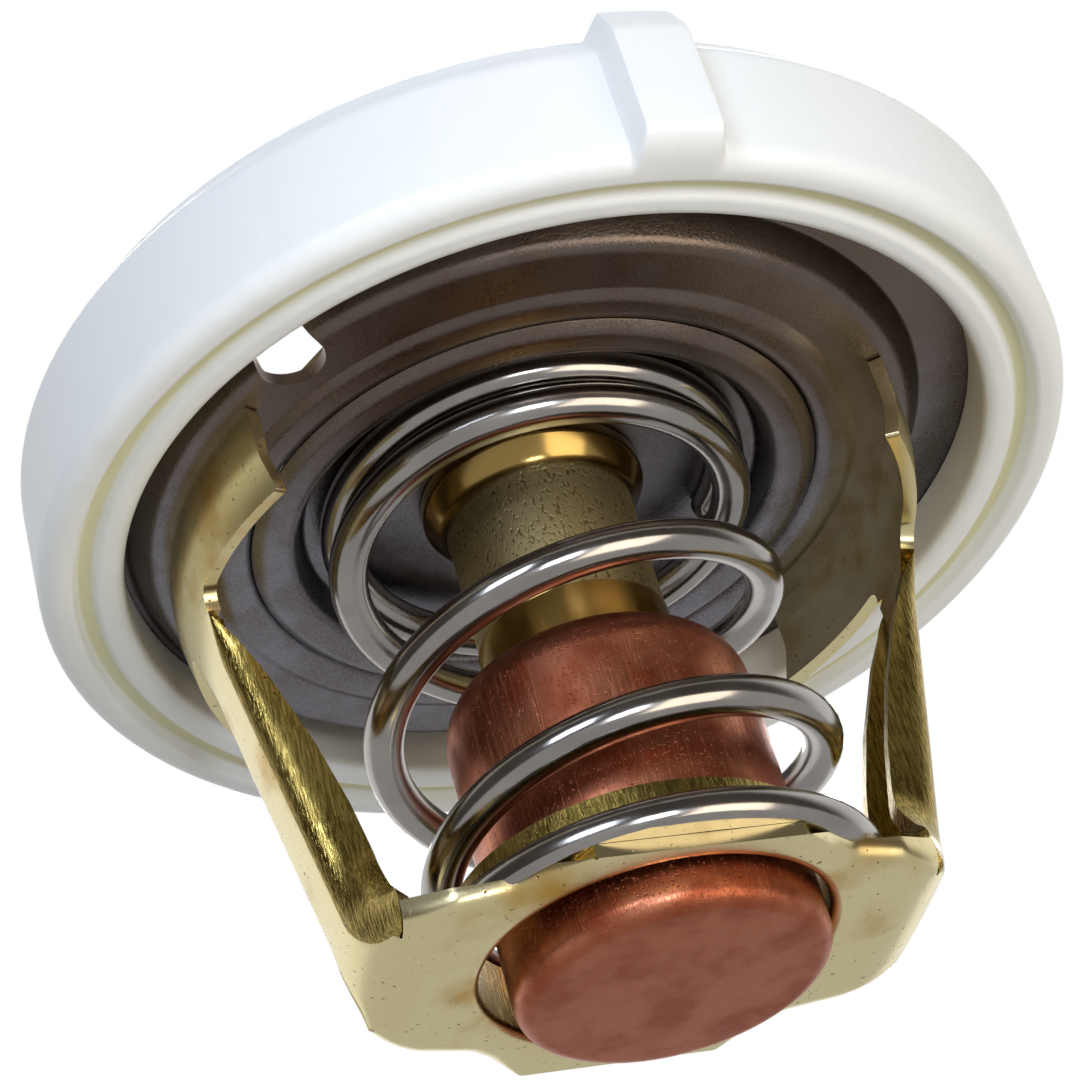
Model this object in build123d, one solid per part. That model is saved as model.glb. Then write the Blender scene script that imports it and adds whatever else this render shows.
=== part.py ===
from build123d import *
import math
import os

os.makedirs("parts", exist_ok=True)

# Wax thermostat of a car engine, in millimetres.
# The origin is on the axis of the seal, level with the underside of the flange plate's flat land.
# The capsule points down, the bridge points up, and the legs of the frame stand at +X and -X.

# Flange plate, pressed from stainless sheet
plate_t = 0.8
rim_r = 27.0            # outer edge of the plate
valve_shift = 1.35      # the valve axis lies this far off the axis of the rim and the seal
valve_shift_angle = 160.0
rim_z = 2.2             # underside of the flat rim
step_in_r = 23.0        # foot of the step between the land and the rim
step_out_r = 24.2
land_r = 19.7           # the flat land starts here, at height 0
ridge_r = 19.0          # outer side of the ridge around the valve
ridge_z = -0.35
opening_r = 15.4
opening_z = 1.75        # underside of the plate at the opening
bleed_r = 22.6
bleed_d = 3.9
bleed_angle = -137.5

# Silicone seal, moulded around the rim
seal_out = 4.0          # the outer wall stands this far out from the rim
seal_low = -1.8
seal_high = 9.2
crown_in = 2.1          # the upper side is flat up to this far inside the outer wall
seal_wall_high = 6.3    # the outer wall is upright up to here
lip_in = 1.0            # both lips reach this far in over the rim
bead_w = 1.6            # rounded bead on the lower lip
bead_low = -1.5
bank_w = 0.4            # slope from the bead down into the groove
groove_w = 0.8
groove_z = -0.9
slot_play = 0.3         # room between the rim and the bottom of the slot
tab_angle = -89.1
tab_w = 4.6
tab_out = 1.7           # the tab stands this far out from the outer wall
tab_high = 8.7
tab_top_in = 1.3        # its top is this much narrower
tab_root = 1.2          # how deep the tab's section reaches into the ring
seal_r = rim_r + seal_out
lip_r = rim_r - lip_in
tab_r = seal_r + tab_out

# Valve disc, pressed from stainless sheet
valve_t = 0.8
valve_r = 17.2
well_r = 13.9           # the spring stands in this well
well_z = 1.7            # underside of the floor of the well
rim_low = -0.5          # underside of the rounded rim
edge_out = 0.75         # the edge of the disc turns up by this much out and up
edge_up = 0.55
seat_gap = 0.03         # between the edge and the cone it closes on

# Guide, turned from brass
guide_r = 5.58          # rough stem
step_r = 5.68           # smooth step above the capsule
neck_r = 4.5            # through the valve disc
flare_r = 6.75          # collar under the valve disc
flare_edge = 0.8        # underside of its upright edge
flare_low = -0.6        # it runs out into the stem here
step_top = -9.3
bore_r = 2.45
head_r = 5.9
head_h = 0.9
nose_r = 4.0
nose_h = 1.8
foot_h = 3.2            # flange inside the capsule

# Capsule, drawn from copper
cup_r = 8.85
cup_t = 0.5
cup_low = -32.5
cup_top = -12.6
cup_corner = 0.6
shoulder_r = 2.3
cup_play = 0.02

# Inside the capsule
diaphragm_t = 1.2
disc_h = 0.6

# Piston, ground steel
piston_play = 0.05
piston_low = -11.8

# Lower frame, pressed from brass sheet
frame_t = 0.8
lean = 0.7              # the legs lean, so the base is this far towards -X
frame_low = -30.3
collar_r = 9.75         # inside of the drawn collar
collar_high = -26.0
leg_low_r = 16.0        # outer face of the leg where it would meet the underside
ear_r = 22.2            # outer face of the curved ears
ear_low = -5.9
ear_half = 34.0         # degrees on each side of the leg
leg_w = 8.0
leg_corner = 1.5        # fillet between ear and leg
flange_d = 2.5          # depth of the folded edges of the legs
flange_end_r = 15.0
lug_r = 14.7
waist = 11.7            # half the width of the base
relief_r = 2.4          # round notches between the legs and the waist
relief_x = 10.7
relief_y = 10.7
ear_tab_w = 5.0
tab_play = 0.04
tab_over = 0.8          # the tabs stand this far above the bridge

# Upper bridge, pressed from brass sheet
bridge_t = 1.0
bridge_w = 10.0
bridge_foot_out = 22.3
bridge_foot_in = 19.0
bridge_top_half = 4.6
bridge_top = 16.6       # upper face of the crosspiece
pocket_r = 3.4
pocket_h = 2.4          # height of the pocket above the crosspiece
pocket_play = 0.02

# Spring, stainless wire
wire_r = 0.9
coil_r = 12.15
coil_end = 124.0        # degrees, lower end of the wire
coil_total = 4.7        # turns
spring_play = 0.02
# Height of the wire's middle above its lower end, and depth below its upper end
rise_end = 0.12         # where the closed end turn lifts off
rise_first = 6.1        # a turn later
rise_second = 16.6      # two turns later
fall_third = 1.88       # the nearly closed turn under the upper end
fall_fourth = 1.86


# Shared shapes

def offset_line(points, distance):
    # The same open line moved to its left, with mitred corners.
    moved = []
    for i, (x, z) in enumerate(points):
        ahead = points[min(i + 1, len(points) - 1)]
        behind = points[max(i - 1, 0)]
        before = (Vector(x, z) - Vector(*behind)).normalized() if i > 0 else None
        after = (Vector(*ahead) - Vector(x, z)).normalized() if i < len(points) - 1 else None
        before = before or after
        after = after or before
        middle = (before + after).normalized()
        reach = distance / max(middle.dot(before), 0.2)
        moved.append((x - middle.Y * reach, z + middle.X * reach))
    return moved


def bent_sheet(points, thickness, radii):
    # Section of a bent sheet: the line is one face, and the sheet lies to its left.
    # Each radius is the one on the inside of its bend.
    near, far = [], []
    for i, radius in enumerate(radii, start=1):
        into = Vector(*points[i]) - Vector(*points[i - 1])
        out = Vector(*points[i + 1]) - Vector(*points[i])
        turns_left = into.X * out.Y - into.Y * out.X > 0
        near.append(radius + thickness if turns_left else radius)
        far.append(radius if turns_left else radius + thickness)
    moved = offset_line(points, thickness)
    face_line = FilletPolyline(*points, radius=near)
    back_line = FilletPolyline(*moved, radius=far)
    ends = [Line(points[0], moved[0]), Line(points[-1], moved[-1])]
    return make_face([*face_line.edges(), *back_line.edges(), *[e.edge() for e in ends]])


def rounded(points, corners):
    # A closed section with the named corners rounded.
    face = make_face(Polyline(*points, close=True))
    for corner, radius in corners:
        face = fillet(face.vertices().sort_by_distance((*corner, 0))[0], radius)
    return face


def turned(section):
    return revolve(Plane.XZ * section, Axis.Z)


def disc(radius, low, high):
    return Pos(0, 0, low) * Cylinder(radius, high - low, align=(Align.CENTER, Align.CENTER, Align.MIN))


def polar(radius, angle):
    return radius * math.cos(math.radians(angle)), radius * math.sin(math.radians(angle))


at_valve = Pos(*polar(valve_shift, valve_shift_angle), 0)
at_base = Pos(-lean, 0, 0)
ears = {0: ear_r + lean, 180: ear_r - lean}     # radius of each ear about the middle of the base


# Flange plate

def seat_r(z):
    # Radius of the conical seat at a height: the cone stands square to the turned-up edge of the disc.
    edge = math.hypot(edge_out, edge_up)
    r0 = valve_r + seat_gap * edge_out / edge
    z0 = rim_low + edge_up + seat_gap * edge_up / edge
    return r0 - (z - z0) * edge_up / edge_out


def make_plate():
    line = [
        (opening_r, opening_z),
        (seat_r(opening_z), opening_z),
        (seat_r(ridge_z), ridge_z),
        (ridge_r, ridge_z),
        (land_r, 0),
        (step_in_r, 0),
        (step_out_r, rim_z),
        (step_out_r + 1.2, rim_z),
    ]
    dished = turned(bent_sheet(line, plate_t, [0.3, 0.3, 0.3, 0.5, 0.3, 0.3]))
    dished -= Pos(*polar(bleed_r, bleed_angle), 0) * Cylinder(bleed_d / 2, 12)
    dished -= ear_tabs(tab_play)
    inside = at_valve * disc(step_out_r + 0.9, rim_z - 1, rim_z + 2)
    return at_valve * dished + (disc(rim_r, rim_z, rim_z + plate_t) - inside)


def ear_tabs(play):
    # Tabs of the frame's ears, which pass through the plate and the feet of the bridge.
    both = None
    for turn, radius in ears.items():
        ring = disc(radius + play, -1, plate_t + bridge_t + tab_over)
        ring -= disc(radius - frame_t - play, -2, plate_t + bridge_t + tab_over + 1)
        strip = Box(2 * ear_r, ear_tab_w + 2 * play, 40, align=(Align.MIN, Align.CENTER, Align.CENTER))
        one = Rot(0, 0, turn) * (ring & strip)
        both = one if both is None else both + one
    return at_base * both


# Seal

def make_seal():
    slot_r = rim_r + slot_play
    slot_high = rim_z + plate_t
    crown_r = seal_r - crown_in
    bead_r = lip_r + bead_w
    g0 = bead_r + bank_w
    g1 = g0 + groove_w
    foot_r = g1 + 0.75 * bank_w
    foot_w = seal_r - foot_r
    points = [
        (lip_r, rim_z), (lip_r, bead_low), (bead_r, bead_low), (g0, groove_z), (g1, groove_z),
        (foot_r, seal_low), (seal_r, seal_low), (seal_r, seal_wall_high), (crown_r, seal_high),
        (lip_r, seal_high), (lip_r, slot_high), (slot_r, slot_high), (slot_r, rim_z),
    ]
    corners = [
        ((lip_r, bead_low), 0.56 * bead_w), ((bead_r, bead_low), 0.31 * bead_w),
        ((g0, groove_z), groove_w / 4), ((g1, groove_z), groove_w / 4),
        ((foot_r, seal_low), 0.2 * foot_w), ((seal_r, seal_low), 0.68 * foot_w),
        ((seal_r, seal_wall_high), 1.5), ((crown_r, seal_high), 1.2), ((lip_r, seal_high), 0.8),
    ]
    ring = turned(rounded(points, corners))
    base = seal_r - tab_root
    tab_top_r = tab_r - tab_top_in
    outline = rounded(
        [(base, seal_low), (tab_r, seal_low), (tab_r, seal_wall_high), (tab_top_r, tab_high), (base, tab_high)],
        [((tab_r, seal_low), 0.3 * tab_out), ((tab_r, seal_wall_high), 1.0), ((tab_top_r, tab_high), 0.3 * tab_out)],
    )
    spread = math.degrees(tab_w / seal_r)
    tab = Rot(0, 0, tab_angle - spread / 2) * revolve(Plane.XZ * outline, Axis.Z, spread)
    upright = [e for e in tab.edges() if abs(e.tangent_at(0.5).Z) > 0.9]
    upright = [e for e in upright if math.hypot(e.center().X, e.center().Y) > tab_r - 0.1]
    return ring + fillet(upright, 0.4 * tab_out)


# Valve disc

def make_valve():
    line = [
        (neck_r + cup_play, well_z),
        (well_r, well_z),
        (well_r + 0.75, rim_low),
        (valve_r - edge_out, rim_low),
        (valve_r, rim_low + edge_up),
    ]
    return turned(bent_sheet(line, valve_t, [0.4, 0.3, 0.3]))


# Guide

def make_guide():
    foot_top = cup_top - cup_t - cup_play
    foot_low = foot_top - foot_h
    disc_top = well_z + valve_t
    foot_r = cup_r - cup_t - cup_play
    points = [
        (bore_r, disc_top + head_h + nose_h), (nose_r, disc_top + head_h + nose_h), (nose_r, disc_top + head_h),
        (head_r, disc_top + head_h), (head_r, disc_top), (neck_r, disc_top), (neck_r, well_z),
        (flare_r, well_z), (flare_r, flare_edge), (guide_r, flare_low), (guide_r, step_top), (step_r, step_top),
        (step_r, foot_top), (foot_r, foot_top), (foot_r, foot_low), (bore_r, foot_low),
    ]
    corners = [
        ((nose_r, disc_top + head_h + nose_h), 0.4), ((head_r, disc_top + head_h), 0.35),
        ((guide_r, flare_low), 1.6), ((flare_r, flare_edge), 0.4), ((flare_r, well_z), 0.15),
        ((step_r, step_top), 0.6 * (step_r - guide_r)),
        ((foot_r, foot_top), shoulder_r - cup_play), ((foot_r, foot_low), 0.3),
    ]
    return turned(rounded(points, corners))


# Capsule and what it holds

def make_cup():
    line = [(0, cup_low), (cup_r, cup_low), (cup_r, cup_top), (step_r + cup_play, cup_top)]
    return turned(bent_sheet(line, cup_t, [cup_corner, shoulder_r]))


foot_low = cup_top - cup_t - cup_play - foot_h
inside_r = cup_r - cup_t - cup_play


def make_diaphragm():
    return disc(inside_r, foot_low - diaphragm_t, foot_low)


def make_wax():
    pellet = disc(inside_r, cup_low + cup_t, foot_low - diaphragm_t)
    return fillet(pellet.edges().sort_by(Axis.Z)[0], cup_corner + 0.05)


# Piston and the two soft pieces under it

piston_r = bore_r - piston_play
pocket_floor = bridge_top + pocket_h - bridge_t


def make_piston():
    body = disc(piston_r, piston_low, pocket_floor)
    return chamfer(body.edges().filter_by(GeomType.CIRCLE), 0.4)


def make_backing_disc():
    return disc(piston_r, piston_low - disc_h, piston_low)


def make_plug():
    return disc(piston_r, foot_low, piston_low - disc_h)


# Lower frame

def leg_r(z, ear):
    # Outer face of the leg at a height, for the ear of that radius.
    return leg_low_r + (ear - leg_low_r) * (z - frame_low) / (ear_low - frame_low)


def folded_edge(ear):
    # One folded edge of a leg, from the ear down to its end cut.
    half = frame_t / 2
    line = [
        (leg_r(ear_low, ear) - half, ear_low),
        (leg_r(frame_low + 3.2, ear) - half, frame_low + 3.2),
        (leg_low_r - 1.0, frame_low + half + 0.2),
        (flange_end_r - 0.4, frame_low + half),
        (flange_end_r, frame_low + frame_t + 2.6),
        (leg_r(-22, ear) - flange_d, -22),
        (leg_r(-15, ear) - 0.85 * flange_d, -15),
        (leg_r(-9.5, ear) - 0.45 * flange_d, -9.5),
        (leg_r(ear_low, ear) - frame_t, ear_low),
    ]
    side = make_face(Polyline(*line, close=True))
    return Pos(0, -leg_w / 2 + frame_t / 2, 0) * extrude(Plane.XZ * side, frame_t / 2, both=True)


def frame_half(ear):
    # Half of the frame, from the middle of the base to the ear at +X.
    tab_end = plate_t + bridge_t + tab_over
    line = [(collar_r, collar_high), (collar_r, frame_low), (leg_low_r, frame_low), (ear, ear_low), (ear, tab_end)]
    shell = turned(bent_sheet(line, frame_t, [0.3, 1.8, 3.0]))
    base = disc(lug_r, frame_low - 1, collar_high + 1) & Box(4 * ear_r, 2 * waist, 100)
    for y in (-relief_y, relief_y):
        base -= Pos(relief_x, y, frame_low) * Cylinder(relief_r, 8)
    right = [
        (leg_w / 2, frame_low - 1), (leg_w / 2, ear_low), (ear_r, ear_low),
        (ear_r, 0), (ear_tab_w / 2, 0), (ear_tab_w / 2, tab_end + 1),
    ]
    left = [(-y, z) for y, z in reversed(right)]
    corners = [((side * leg_w / 2, ear_low), leg_corner) for side in (-1, 1)]
    front = extrude(Plane.YZ * rounded(right + left, corners), 2 * ear_r)
    reach = 2 * ear_r
    spread = reach * math.tan(math.radians(ear_half))
    sector = extrude(make_face(Polyline((0, 0), (reach, -spread), (reach, spread), close=True)), 100, both=True)
    legs = (front & sector) - disc(lug_r - 1, -60, 20)
    body = shell & (base + legs)
    body &= Box(4 * ear_r, 4 * ear_r, 200, align=(Align.MIN, Align.CENTER, Align.CENTER))
    edge = folded_edge(ear)
    return body + edge + mirror(edge, Plane.XZ)


def make_frame():
    both = None
    for turn, ear in ears.items():
        half = Rot(0, 0, turn) * frame_half(ear)
        both = half if both is None else both + half
    return at_base * both


# Upper bridge

def make_bridge():
    under_top = bridge_top - bridge_t
    side = [(bridge_top_half, under_top), (bridge_foot_in, plate_t), (bridge_foot_out, plate_t)]
    line = [(-x, z) for x, z in reversed(side)] + side
    strap = extrude(Plane.XZ * bent_sheet(line, bridge_t, [1.2, 1.6, 1.6, 1.2]), bridge_w / 2, both=True)
    strap &= disc(bridge_foot_out, 0, bridge_top + 1)
    pocket = disc(pocket_r, under_top, bridge_top + pocket_h)
    pocket = fillet(pocket.edges().sort_by(Axis.Z)[-1], 0.8)
    body = strap + pocket - disc(piston_r + pocket_play, under_top - 1, pocket_floor)
    return body - ear_tabs(tab_play)


# Spring

def smooth_heights(knots, turn):
    # Height after so many turns, on a smooth line through the knots that never overshoots.
    steps = [(b[1] - a[1]) / (b[0] - a[0]) for a, b in zip(knots, knots[1:])]
    slopes = [steps[0]]
    for before, after in zip(steps, steps[1:]):
        same = before * after > 0
        slopes.append(2 * before * after / (before + after) if same else 0.0)
    slopes.append(steps[-1])
    i = 0
    while i < len(knots) - 2 and turn > knots[i + 1][0]:
        i += 1
    (t0, z0), (t1, z1) = knots[i], knots[i + 1]
    width = t1 - t0
    x = (turn - t0) / width
    start = (1 + 2 * x) * (1 - x) ** 2 * z0 + x * (1 - x) ** 2 * width * slopes[i]
    finish = x * x * (3 - 2 * x) * z1 + x * x * (x - 1) * width * slopes[i + 1]
    return start + finish


def make_spring():
    floor = frame_low + frame_t + wire_r + spring_play
    ceiling = well_z - wire_r - spring_play
    low = [(0.0, 0.0), (0.35, rise_end), (1.35, rise_first), (2.35, rise_second)]
    high = [(3.35, fall_third), (3.7, fall_fourth), (4.35, 0.0), (coil_total, 0.0)]
    knots = [(turn, floor + z) for turn, z in low] + [(turn, ceiling - z) for turn, z in high]
    count = round(coil_total * 6)
    points = []
    for i in range(count + 1):
        turn = coil_total * i / count
        x, y = polar(coil_r, coil_end + 360 * turn)
        z = smooth_heights(knots, turn)
        points.append(Vector(x - lean * (ceiling - z) / (ceiling - floor), y, z))
    path = Spline(*points)
    section = Plane(origin=path @ 0, z_dir=path % 0) * Circle(wire_r)
    return sweep(section, path=path, is_frenet=True)


parts = {
    "flange_plate": make_plate(),
    "seal_ring": make_seal(),
    "valve_disc": make_valve(),
    "guide": make_guide(),
    "capsule_cup": make_cup(),
    "diaphragm": make_diaphragm(),
    "wax_pellet": make_wax(),
    "piston": make_piston(),
    "backing_disc": make_backing_disc(),
    "rubber_plug": make_plug(),
    "lower_frame": make_frame(),
    "upper_bridge": make_bridge(),
    "main_spring": make_spring(),
}

in_place = ("flange_plate", "seal_ring")
for name, solid in parts.items():
    if name not in in_place:
        solid = at_valve * solid
    solid.label = name
    export_step(solid, f"parts/{name}.step")
    print(name, len(solid.solids()), round(solid.volume, 1))
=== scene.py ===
import math
import bmesh
import bpy
from mathutils import Matrix, Vector
from mathutils.geometry import delaunay_2d_cdt


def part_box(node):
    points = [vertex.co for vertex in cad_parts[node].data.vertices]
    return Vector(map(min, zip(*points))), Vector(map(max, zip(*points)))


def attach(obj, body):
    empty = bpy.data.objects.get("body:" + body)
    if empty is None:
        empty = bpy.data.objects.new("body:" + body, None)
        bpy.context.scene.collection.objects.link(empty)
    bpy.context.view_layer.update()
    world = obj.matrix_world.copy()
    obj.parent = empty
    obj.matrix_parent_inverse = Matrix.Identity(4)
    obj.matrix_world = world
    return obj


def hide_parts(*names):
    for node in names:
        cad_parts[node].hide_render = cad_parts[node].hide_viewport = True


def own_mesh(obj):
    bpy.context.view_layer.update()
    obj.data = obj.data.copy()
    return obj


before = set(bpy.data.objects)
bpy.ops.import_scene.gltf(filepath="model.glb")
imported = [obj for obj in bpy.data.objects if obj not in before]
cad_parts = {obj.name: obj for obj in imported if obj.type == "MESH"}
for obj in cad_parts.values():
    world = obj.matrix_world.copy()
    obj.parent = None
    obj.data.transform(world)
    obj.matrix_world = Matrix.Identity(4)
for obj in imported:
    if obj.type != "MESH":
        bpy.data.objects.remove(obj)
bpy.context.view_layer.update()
mm = 0.001
cupLow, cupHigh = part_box("capsule_cup")
valveAt = (cupLow + cupHigh) / 2 / mm        # the valve axis stands a little off the axis of the seal
valveAt.z = 0
print("stage: frame loaded")


# Shapes, all in mm

def roundCorners(points, radii, closed=True, stepDegrees=9.0):
    # Rounds the corners of a flat line, each by its own radius
    rounded = []
    count = len(points)
    for i, (point, radius) in enumerate(zip(points, radii)):
        here = Vector(point)
        if radius == 0 or (not closed and i in (0, count - 1)):
            rounded.append(here)
            continue
        back = (Vector(points[i - 1]) - here).normalized()
        ahead = (Vector(points[(i + 1) % count]) - here).normalized()
        between = back.angle(ahead)
        if between > math.pi - 0.001:
            rounded.append(here)
            continue
        centre = here + (back + ahead).normalized() * radius / math.sin(between / 2)
        arm = here + back * radius / math.tan(between / 2) - centre
        last = here + ahead * radius / math.tan(between / 2) - centre
        turn = math.pi - between
        if arm.x * last.y - arm.y * last.x < 0:
            turn = -turn
        steps = max(2, math.ceil(abs(math.degrees(turn)) / stepDegrees))
        for k in range(steps + 1):
            rounded.append(centre + Matrix.Rotation(turn * k / steps, 2) @ arm)
    return rounded


def sheetPaths(points, thickness, bends):
    # Both faces of a bent sheet that lies to the left of the line, with the radius of each bend
    moved = []
    near = [0]
    far = [0]
    for i, point in enumerate(points):
        here = Vector(point)
        into = (here - Vector(points[i - 1])).normalized() if i > 0 else None
        out = (Vector(points[i + 1]) - here).normalized() if i < len(points) - 1 else None
        if into and out:
            left = into.x * out.y - into.y * out.x > 0
            near.append(bends[i - 1] + (thickness if left else 0))
            far.append(bends[i - 1] + (0 if left else thickness))
        into = into or out
        out = out or into
        middle = (into + out).normalized()
        reach = thickness / middle.dot(into)
        moved.append(here + Vector((-middle.y, middle.x)) * reach)
    return [Vector(p) for p in points], near + [0], moved, far + [0]


def sheetLoop(points, thickness, bends, rawEdges=(0.1, 0.1)):
    # Section of a bent sheet as one closed line, its raw edges slightly rounded
    points, near, moved, far = sheetPaths(points, thickness, bends)
    near[0] = far[0] = rawEdges[0]
    near[-1] = far[-1] = rawEdges[1]
    return roundCorners(points + moved[::-1], near + far[::-1])


def smooth(x):
    # 0 to 1 with a soft start and end
    x = min(max(x, 0.0), 1.0)
    return x * x * (3 - 2 * x)


def placed(name, data):
    made = bpy.data.objects.new(name, data)
    bpy.context.scene.collection.objects.link(made)
    return made


def meshObject(name, mesh):
    data = bpy.data.meshes.new(name)
    mesh.to_mesh(data)
    mesh.free()
    return placed(name, data)


def piece(name, mesh, materials, body, nodes=(), sharpDegrees=38):
    # Takes a bmesh in mm and makes it an object in metres that rides on its body
    bmesh.ops.remove_doubles(mesh, verts=mesh.verts, dist=0.0005)
    bmesh.ops.dissolve_degenerate(mesh, edges=mesh.edges, dist=0.0002)
    bmesh.ops.recalc_face_normals(mesh, faces=mesh.faces)
    for face in mesh.faces:
        face.smooth = True
    for edge in mesh.edges:
        edge.smooth = edge.calc_face_angle(0) < math.radians(sharpDegrees)
    bmesh.ops.scale(mesh, vec=(mm, mm, mm), verts=mesh.verts)
    made = meshObject(name, mesh)
    for material in materials:
        made.data.materials.append(material)
    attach(made, body)
    if nodes:
        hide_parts(*nodes)
    return made


def skin(mesh, rows, ringed=False, looped=True):
    # Faces between rows of corners; ringed joins the last row to the first, looped closes each row
    for a, b in zip(rows, rows[1:] + (rows[:1] if ringed else [])):
        for k in range(len(a) if looped else len(a) - 1):
            m = (k + 1) % len(a)
            mesh.faces.new((a[k], b[k], b[m], a[m]))


def lathe(loop, centre=(0, 0, 0), segments=240, angles=None, reshape=None):
    # Turns a closed section of (radius, height) round a vertical axis
    mesh = bmesh.new()
    angles = angles or [2 * math.pi * i / segments for i in range(segments)]
    rows = []
    for angle in angles:
        row = []
        for r, z in loop:
            if reshape:
                r, z = reshape(r, z, angle)
            spot = (centre[0] + r * math.cos(angle), centre[1] + r * math.sin(angle), z)
            row.append(mesh.verts.new(spot))
        rows.append(row)
    skin(mesh, rows, ringed=True)
    return mesh


def modified(mesh, *changes):
    # Applies modifiers, each given as its kind and its settings, and returns the new bmesh
    work = meshObject("work", mesh)
    for kind, settings in changes:
        modifier = work.modifiers.new(kind, kind)
        for key, value in settings.items():
            setattr(modifier, key, value)
    bpy.context.view_layer.update()
    result = bmesh.new()
    result.from_mesh(work.evaluated_get(bpy.context.evaluated_depsgraph_get()).to_mesh())
    bpy.data.objects.remove(work)
    return result


def cutBy(mesh, tool, operation="DIFFERENCE"):
    # Cuts a tool's shape out of a mesh, or joins it on
    for part in (tool, mesh):
        bmesh.ops.recalc_face_normals(part, faces=part.faces)
    cutter = meshObject("tool", tool)
    result = modified(mesh, ("BOOLEAN", {"object": cutter, "operation": operation, "solver": "EXACT"}))
    bpy.data.objects.remove(cutter)
    return result


def filled(outline, inner, spacing):
    # Triangles of a flat shape with even points inside: returns the points and the triangles
    loops = [outline] + inner
    points = []
    edges = []
    for loop in loops:
        start = len(points)
        points += [Vector(p) for p in loop]
        edges += [(start + i, start + (i + 1) % len(loop)) for i in range(len(loop))]

    def within(p):
        # Counts the edges to one side of the point
        hits = 0
        for a, b in edges:
            a, b = points[a], points[b]
            if (a.y > p.y) != (b.y > p.y) and p.x < a.x + (p.y - a.y) * (b.x - a.x) / (b.y - a.y):
                hits += 1
        return hits % 2 == 1

    rim = list(points)
    low = Vector((min(p.x for p in rim), min(p.y for p in rim)))
    high = Vector((max(p.x for p in rim), max(p.y for p in rim)))
    more = []
    y = low.y + spacing
    row = 0
    while y < high.y:
        x = low.x + spacing * (0.5 + 0.5 * (row % 2))
        while x < high.x:
            p = Vector((x, y))
            if within(p) and min((q - p).length for q in rim) > 0.55 * spacing:
                more.append(p)
            x += spacing
        y += spacing * 0.866                # height of an even triangle
        row += 1
    found = delaunay_2d_cdt(points + more, edges, [], 0, 1e-5)
    keep = [f for f in found[2] if within(sum((found[0][i] for i in f), Vector((0, 0))) / len(f))]
    return found[0], keep


# Materials

def hexColour(text):
    # sRGB hex to linear
    values = [int(text[i:i + 2], 16) / 255 for i in (1, 3, 5)]
    return [v / 12.92 if v <= 0.04045 else ((v + 0.055) / 1.055) ** 2.4 for v in values] + [1.0]


def addNode(tree, kind, inputs=None, out=None, **settings):
    # Adds a node, sets or links its inputs, and returns it, or the output that is asked for
    node = tree.nodes.new("ShaderNode" + kind)
    for key, value in settings.items():
        setattr(node, key, value)
    for key, value in (inputs or {}).items():
        if isinstance(value, bpy.types.NodeSocket):
            tree.links.new(value, node.inputs[key])
        else:
            node.inputs[key].default_value = value
    return node if out is None else node.outputs[out]


def newMaterial(name, inputs):
    # Returns the material, its tree and its coordinates in mm from the valve axis
    material = bpy.data.materials.new(name)
    material.use_nodes = True
    tree = material.node_tree
    shader = tree.nodes["Principled BSDF"]
    for key, value in inputs.items():
        shader.inputs[key].default_value = value
    place = addNode(tree, "TexCoord", out="Object")
    scale = (1 / mm, 1 / mm, 1 / mm)
    coords = addNode(tree, "Mapping", {"Vector": place, "Location": -valveAt, "Scale": scale}, "Vector")
    return material, tree, coords


def fadeMasks(tree, *fades):
    # One mask for each (value, where it starts, where it is full)
    masks = []
    for value, start, full in fades:
        span = {"Value": value, "From Min": start, "From Max": full}
        masks.append(addNode(tree, "MapRange", span, 0, interpolation_type="SMOOTHSTEP"))
    return masks


def noiseMask(tree, coords, size, low, high, stretch=(1, 1, 1)):
    # 0 to 1 where noise with features of that size in mm passes from low to high
    where = addNode(tree, "Mapping", {"Vector": coords, "Scale": [1 / (size * s) for s in stretch]}, 0)
    noise = addNode(tree, "TexNoise", {"Vector": where, "Scale": 1.0, "Detail": 3.0}, 0)
    return fadeMasks(tree, (noise, low, high))[0]


def layered(tree, colours, base, *layers):
    # Lays colours over a base one by one, each by its mask and its share
    colour = hexColour(colours[base])
    for mask, share, over in layers:
        if share != 1:
            mask = addNode(tree, "Math", {0: mask, 1: share}, 0, operation="MULTIPLY")
        mixed = {0: mask, 6: colour, 7: hexColour(colours[over])}
        colour = addNode(tree, "Mix", mixed, 2, data_type="RGBA")
    return colour


def radiusOf(tree, coords):
    # Distance from the axis, and the height, in mm
    split = addNode(tree, "SeparateXYZ", {0: coords})
    flat = addNode(tree, "CombineXYZ", {0: split.outputs[0], 1: split.outputs[1]}, 0)
    return addNode(tree, "VectorMath", {0: flat}, "Value", operation="LENGTH"), split.outputs[2]


def finishSurface(material, colour, roughness, height, depth, duller=None):
    # Links colour, roughness as (mask, from, to), and relief, whose depth is the marks' height in mm
    tree = material.node_tree
    shader = tree.nodes["Principled BSDF"]
    tree.links.new(colour, shader.inputs["Base Color"])
    if roughness:
        rough = addNode(tree, "Mix", dict(zip((0, 2, 3), roughness)), 0, data_type="FLOAT")
        if duller is not None:
            rough = addNode(tree, "Math", {0: rough, 1: duller}, 0, operation="ADD")
        tree.links.new(rough, shader.inputs["Roughness"])
    relief = addNode(tree, "Bump", {"Height": height, "Distance": depth * mm, "Strength": 1.0}, 0)
    tree.links.new(relief, shader.inputs["Normal"])
    return material


# Moulded silicone rubber: soft white, light goes a little way in. Painted shade darkens the groove and
# the inner wall, and grit about 0.2 mm wide sticks to it.
silicone = {
    # the groove and wall colours are painted shade, in the groove and on the inner wall; the speck colour is
    # grit
    "white": "#F3F5F1", "groove": "#DCD9B0", "wallShade": "#C9BDA0", "speck": "#3A342C",
    "grooveAt": 28.35, "grooveShadeFade": (0.5175, 0.225), "grooveShadeLowFade": (0.5, -0.2), "wallShadeFade": (26.25, 26.0),
    "wallShadeShare": 0.55, "gritApart": 7.5, "gritFade": (0.022, 0.014), "gritShare": 0.8,
    "ripple": 2.2, "rippleDeep": 0.03, "depthOfLight": 1.4, "roughness": 0.36,
}


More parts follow.
